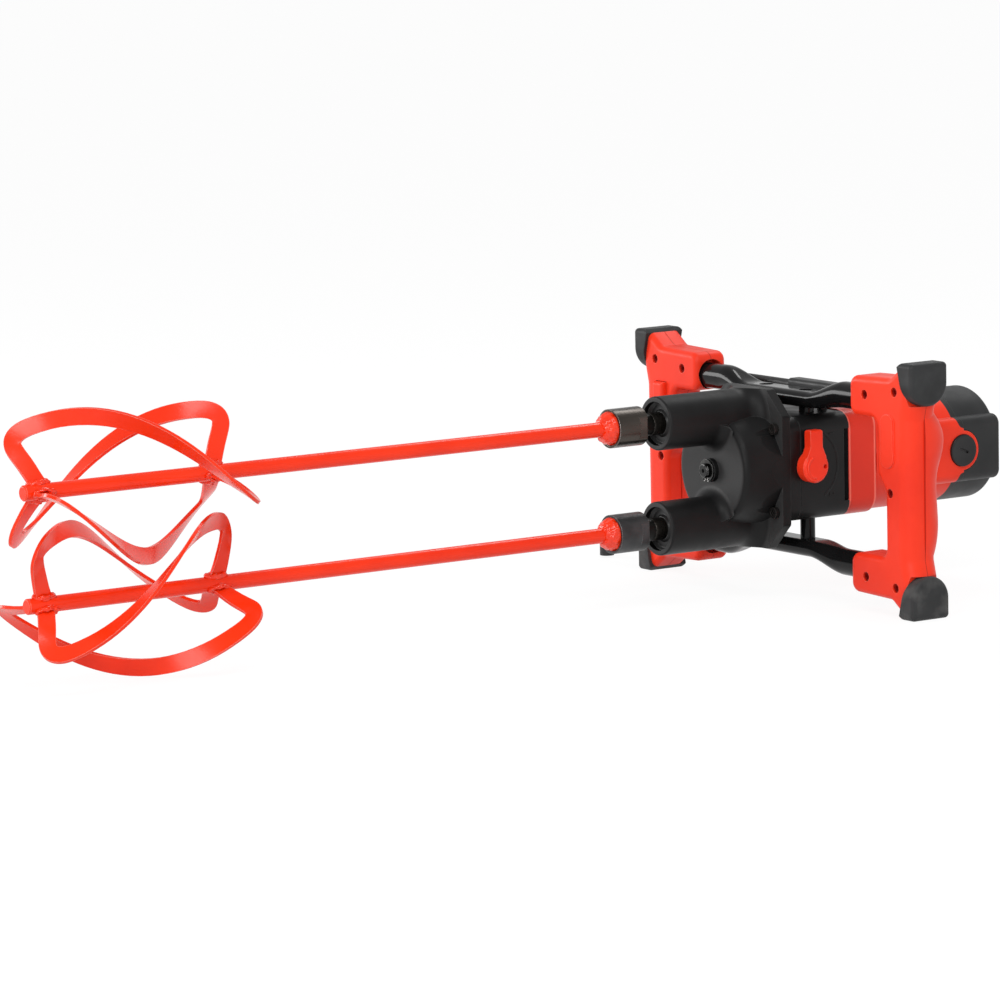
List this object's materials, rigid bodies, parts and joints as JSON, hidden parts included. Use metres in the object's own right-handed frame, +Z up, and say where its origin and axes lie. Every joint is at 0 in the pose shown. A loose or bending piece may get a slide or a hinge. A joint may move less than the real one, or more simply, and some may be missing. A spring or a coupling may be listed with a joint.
{
  "type": "twin paddle mixing drill",
  "caption": "Twin spindle mixing drill with counter-rotating red paddles, black gear housing, red motor and a tubular frame with two handles, lying on its side.",
  "frame": {"origin": "on the floor under the middle of the drill, in the middle of its length and width", "axes": "+X along the spindles from the paddles to the motor, +Y from the plain handle to the switch handle, +Z up as the drill lies on its side"},
  "size_m": [0.8891, 0.44, 0.2091],
  "materials": {
    "red_paint": "gloss",
    "dark_steel": "satin",
    "bright_steel": "satin",
    "black_casting": "satin",
    "black_tube": "gloss",
    "red_plastic": "satin",
    "black_plastic": "matte",
    "black_rubber": "matte",
    "bronze": "satin"
  },
  "bodies": {
    "frame": {"spindle_seals": "black_rubber", "spindle_bearings": "bright_steel", "front_gear_housing": "black_casting", "flange_screws": "dark_steel", "idler_pin": "bright_steel", "bearing_plate": "bright_steel", "axle_bearing": "bright_steel", "layshaft_bearings": "bright_steel", "fork_rod": "bright_steel", "motor_lead": "black_rubber", "lead_cover": "black_plastic", "rear_gear_case": "black_casting", "motor_housing": "red_plastic", "motor_field": "bright_steel", "motor_bearings": "bright_steel", "brush_holders": "bronze", "carbon_brushes": "black_plastic", "brush_caps": "black_plastic", "rear_cover": "black_plastic", "cover_screws": "dark_steel", "frame_tube_upper": "black_tube", "frame_tube_lower": "black_tube", "frame_posts": "black_tube", "frame_bolts": "dark_steel", "near_handle_front": "red_plastic", "near_handle_rear": "red_plastic", "switch_handle_front": "red_plastic", "switch_handle_rear": "red_plastic", "handle_screws": "dark_steel", "near_handle_cap_top": "black_rubber", "near_handle_cap_bottom": "black_rubber", "switch_handle_cap_top": "black_rubber", "switch_handle_cap_bottom": "black_rubber", "switch_block": "black_plastic", "cable_gland": "black_rubber"},
    "upper_spindle": {"paddle_upper": "red_paint", "coupling_upper": "dark_steel", "spindle_upper": "dark_steel", "spindle_gear_upper": "bright_steel"},
    "lower_spindle": {"paddle_lower": "red_paint", "coupling_lower": "dark_steel", "spindle_lower": "dark_steel", "spindle_gear_lower": "bright_steel"},
    "axle": {"central_axle": "dark_steel", "axle_circlip": "dark_steel", "axle_cluster_gear": "bright_steel", "low_speed_gear": "bright_steel"},
    "high_gear": {"high_speed_gear": "bright_steel"},
    "idler": {"idler_gear": "bright_steel"},
    "countershaft": {"layshaft": "bright_steel", "layshaft_wheel": "bright_steel", "layshaft_pinion": "bright_steel"},
    "sleeve": {"shift_sleeve": "bright_steel"},
    "fork": {"shift_fork": "bronze"},
    "selector": {"selector_knob": "red_plastic"},
    "rotor": {"armature_shaft": "bright_steel", "armature": "bright_steel", "motor_fan": "black_plastic"},
    "switch_trigger": {"trigger": "red_plastic"},
    "switch_lock": {"lock_button": "black_plastic"}
  },
  "joints": [
    {"name": "upper_spindle_spin", "type": "hinge", "parent": "frame", "child": "upper_spindle", "pos_m": [0.16805, -0.0375, 0.149], "axis": [1, 0, 0], "continuous": true},
    {"name": "lower_spindle_spin", "type": "hinge", "parent": "frame", "child": "lower_spindle", "pos_m": [0.16805, -0.0375, 0.065], "axis": [1, 0, 0], "continuous": true},
    {"name": "axle_spin", "type": "hinge", "parent": "frame", "child": "axle", "pos_m": [0.22805, -0.0375, 0.107], "axis": [1, 0, 0], "continuous": true},
    {"name": "high_gear_spin", "type": "hinge", "parent": "frame", "child": "high_gear", "pos_m": [0.25805, -0.0375, 0.107], "axis": [1, 0, 0], "continuous": true},
    {"name": "idler_spin", "type": "hinge", "parent": "frame", "child": "idler", "pos_m": [0.20405, -0.02498, 0.08294], "axis": [1, 0, 0], "continuous": true},
    {"name": "countershaft_spin", "type": "hinge", "parent": "frame", "child": "countershaft", "pos_m": [0.25805, -0.0135, 0.107], "axis": [1, 0, 0], "continuous": true},
    {"name": "rotor_spin", "type": "hinge", "parent": "frame", "child": "rotor", "pos_m": [0.33805, -0.0375, 0.107], "axis": [1, 0, 0], "continuous": true},
    {"name": "selector_turn", "type": "hinge", "parent": "frame", "child": "selector", "pos_m": [0.24655, -0.0855, 0.109], "axis": [0, 1, 0], "range_deg": [0, 180]},
    {"name": "fork_slide", "type": "slide", "parent": "frame", "child": "fork", "axis": [1, 0, 0], "range_m": [0, 0.003]},
    {"name": "sleeve_slide", "type": "slide", "parent": "axle", "child": "sleeve", "axis": [1, 0, 0], "range_m": [0, 0.003]},
    {"name": "trigger_press", "type": "slide", "parent": "frame", "child": "switch_trigger", "axis": [1, 0, 0], "range_m": [0, 0.004], "stiffness_N_per_m": 600},
    {"name": "lock_press", "type": "slide", "parent": "frame", "child": "switch_lock", "axis": [0, -1, 0], "range_m": [0, 0.0025], "stiffness_N_per_m": 500}
  ],
  "couplings": [
    {"joint": "lower_spindle_spin", "follows": "upper_spindle_spin", "ratio": -1},
    {"joint": "axle_spin", "follows": "upper_spindle_spin", "ratio": -0.71429},
    {"joint": "idler_spin", "follows": "upper_spindle_spin", "ratio": 1.5},
    {"joint": "countershaft_spin", "follows": "upper_spindle_spin", "ratio": 2.1429},
    {"joint": "high_gear_spin", "follows": "upper_spindle_spin", "ratio": -1.2857},
    {"joint": "rotor_spin", "follows": "upper_spindle_spin", "ratio": -6.4286},
    {"joint": "fork_slide", "follows": "selector_turn", "m_per_rad": 0.00095493},
    {"joint": "sleeve_slide", "follows": "selector_turn", "m_per_rad": 0.00095493}
  ]
}
